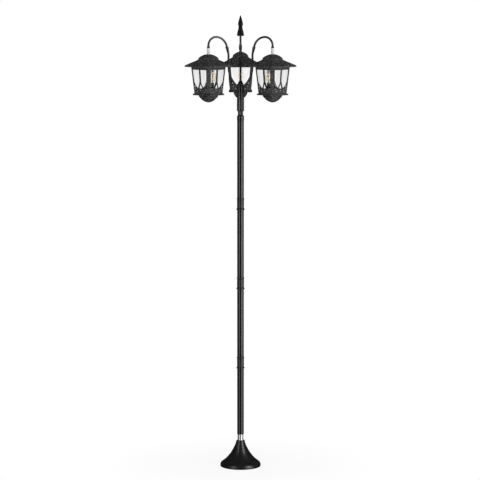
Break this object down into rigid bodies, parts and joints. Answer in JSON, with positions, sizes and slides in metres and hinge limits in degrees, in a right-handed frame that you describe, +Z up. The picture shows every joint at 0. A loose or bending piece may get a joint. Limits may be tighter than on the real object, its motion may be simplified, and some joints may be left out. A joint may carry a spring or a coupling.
{
  "type": "triple head lamp post",
  "caption": "Slender black lamp post on a trumpet base, with arched arms round a spear finial and hanging four-sided lanterns with pointed tracery.",
  "frame": {"origin": "middle of the base on the ground", "axes": "+Z up along the post, -Y the front that the picture shows, +X to the right seen from the front"},
  "size_m": [0.5238, 0.4509, 2.16],
  "materials": {
    "cast_black": "gloss black coat over a lightly pebbled casting",
    "plate_steel": "black primed steel",
    "chrome": "bright plated sleeve",
    "gloss_black": "gloss black enamel",
    "satin_black": "satin black powder coat",
    "zinc": "zinc plated nut",
    "bright_sleeve": "pale bright sleeve",
    "lantern_black": "fine-speckled charcoal powder coat",
    "clear_pane": "clear pane with faint upright waves",
    "holder_plastic": "dark olive-black moulding",
    "brass": "plain screw shell",
    "bulb_glass": "clear slim tube",
    "filament": "warm glowing strip"
  },
  "bodies": {
    "post": {"base_bell": "cast_black", "base_plate": "plate_steel", "base_coupling": "chrome", "post_tube_1": "gloss_black", "post_tube_2": "gloss_black", "post_tube_3": "gloss_black", "post_tube_4": "gloss_black", "post_collar_1": "gloss_black", "post_collar_2": "gloss_black", "post_collar_3": "gloss_black", "neck_collar": "gloss_black", "arm_hub": "gloss_black", "hub_cap": "gloss_black", "finial_rod": "satin_black", "finial_spear": "satin_black", "hanger_nuts": "zinc", "arm_lower_1": "satin_black", "arm_upper_1": "satin_black", "ferrule_1": "satin_black", "hanger_1": "bright_sleeve", "arm_lower_2": "satin_black", "arm_upper_2": "satin_black", "ferrule_2": "satin_black", "hanger_2": "bright_sleeve", "arm_lower_3": "satin_black", "arm_upper_3": "satin_black", "ferrule_3": "satin_black", "hanger_3": "bright_sleeve"},
    "lantern_1": {"dome_cap_1": "lantern_black", "roof_1": "lantern_black", "cage_1": "lantern_black", "glass_1": "clear_pane", "floor_1": "lantern_black", "bowl_1": "lantern_black", "lamp_holder_1": "holder_plastic", "bulb_cap_1": "brass", "bulb_1": "bulb_glass", "filament_1": "filament"},
    "lantern_2": {"dome_cap_2": "lantern_black", "roof_2": "lantern_black", "cage_2": "lantern_black", "glass_2": "clear_pane", "floor_2": "lantern_black", "bowl_2": "lantern_black", "lamp_holder_2": "holder_plastic", "bulb_cap_2": "brass", "bulb_2": "bulb_glass", "filament_2": "filament"},
    "lantern_3": {"dome_cap_3": "lantern_black", "roof_3": "lantern_black", "cage_3": "lantern_black", "glass_3": "clear_pane", "floor_3": "lantern_black", "bowl_3": "lantern_black", "lamp_holder_3": "holder_plastic", "bulb_cap_3": "brass", "bulb_3": "bulb_glass", "filament_3": "filament"}
  },
  "joints": [
    {"name": "lantern_turn_1", "type": "hinge", "parent": "post", "child": "lantern_1", "pos_m": [0.14982, -0.0865, 1.9807], "axis": [0, 0, 1], "range_deg": [-20, 54]},
    {"name": "lantern_turn_2", "type": "hinge", "parent": "post", "child": "lantern_2", "pos_m": [0, 0.173, 1.9807], "axis": [0, 0, 1], "range_deg": [-37, 37]},
    {"name": "lantern_turn_3", "type": "hinge", "parent": "post", "child": "lantern_3", "pos_m": [-0.14982, -0.0865, 1.9807], "axis": [0, 0, 1], "range_deg": [-54, 20]}
  ]
}
